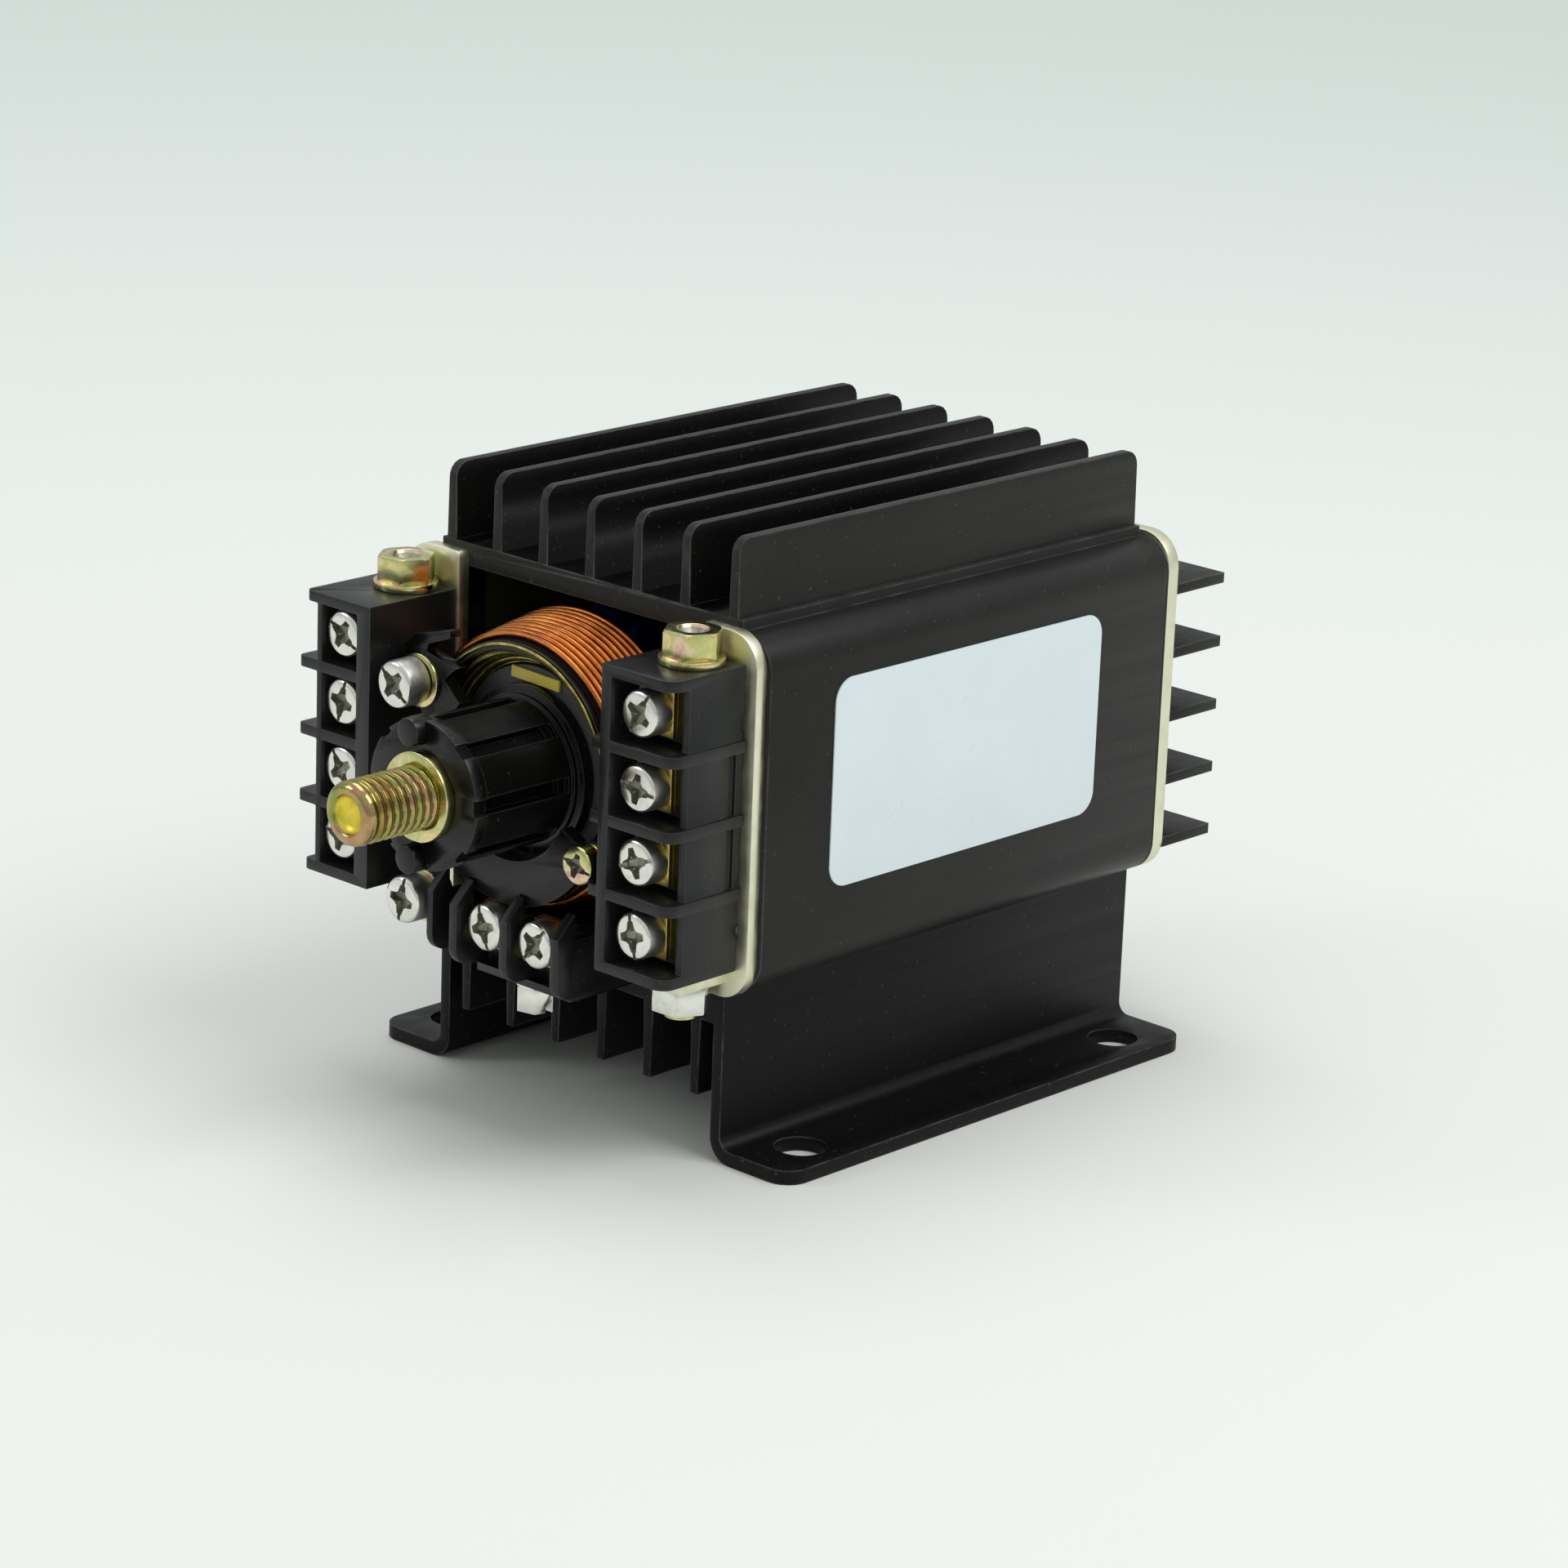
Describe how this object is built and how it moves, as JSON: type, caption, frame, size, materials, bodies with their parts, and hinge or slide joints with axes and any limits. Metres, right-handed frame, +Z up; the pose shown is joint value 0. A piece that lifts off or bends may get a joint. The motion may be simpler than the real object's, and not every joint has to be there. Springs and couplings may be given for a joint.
{
  "type": "automatic voltage regulator",
  "caption": "Automatic voltage regulator: finned black case on a finned heat sink with two feet, open front with winding, threaded stud and screw terminal blocks.",
  "frame": {"origin": "middle of the four foot holes, on the floor under the feet", "axes": "+Z up, -Y the open front with the stud and the terminals, +X to the right-hand block and the label plate"},
  "size_m": [0.09, 0.1516, 0.0971],
  "materials": {
    "case_black": "satin black anodised",
    "sink_black": "satin black anodised",
    "black_plastic": "moulded, semi-matt",
    "block_plastic": "moulded, satin gloss",
    "gasket_rubber": "matt",
    "zinc_plate": "zinc plated, slightly yellow",
    "yellow_zinc": "yellow passivated zinc",
    "bright_steel": "bright zinc plated",
    "clamp_brass": "bright",
    "copper_wire": "enamelled copper",
    "inner_wire": "olive enamelled copper",
    "tape": "satin film",
    "bracket_black": "semi-matt black",
    "core_steel": "oiled laminations",
    "board": "olive green laminate",
    "capacitor": "sleeved",
    "trimmer": "moulded",
    "label_white": "white lacquered sheet"
  },
  "bodies": {
    "root": {"case_shell": "case_black", "base_heatsink": "sink_black", "base_screws": "bright_steel", "rear_gasket": "gasket_rubber", "rear_plate": "zinc_plate", "rear_cooler": "case_black", "rear_plate_screws": "bright_steel", "rear_cooler_screws": "bright_steel", "left_front_plate": "zinc_plate", "right_front_plate": "zinc_plate", "front_plate_screws": "bright_steel", "left_terminal_block": "block_plastic", "right_terminal_block": "block_plastic", "terminal_bars": "clamp_brass", "terminal_clamps": "clamp_brass", "terminal_screws": "bright_steel", "block_bolts": "yellow_zinc", "block_washers": "yellow_zinc", "block_nuts": "bright_steel", "stud_holder": "black_plastic", "stud": "yellow_zinc", "stud_collar": "yellow_zinc", "stud_nut": "bright_steel", "holder_pins": "black_plastic", "carrier_bracket": "bracket_black", "carrier_screws": "bright_steel", "coil_core": "core_steel", "inner_winding": "inner_wire", "winding_tape": "tape", "coil_bobbin": "black_plastic", "outer_winding": "copper_wire", "bobbin_screws": "bright_steel", "bobbin_washers": "yellow_zinc", "output_block": "block_plastic", "output_bars": "clamp_brass", "output_clamps": "clamp_brass", "output_screws": "bright_steel", "output_bracket": "bracket_black", "output_bracket_screws": "bright_steel", "output_hex_screw": "bright_steel", "output_washer": "bright_steel", "label_plate": "label_white", "control_board": "board", "board_standoffs": "clamp_brass", "board_screws": "bright_steel", "board_capacitors": "capacitor", "board_trimmers": "trimmer", "board_chips": "black_plastic", "power_module": "black_plastic", "module_screws": "bright_steel", "sensing_transformer": "core_steel", "transformer_winding": "copper_wire", "transformer_screws": "bright_steel"}
  },
  "joints": []
}
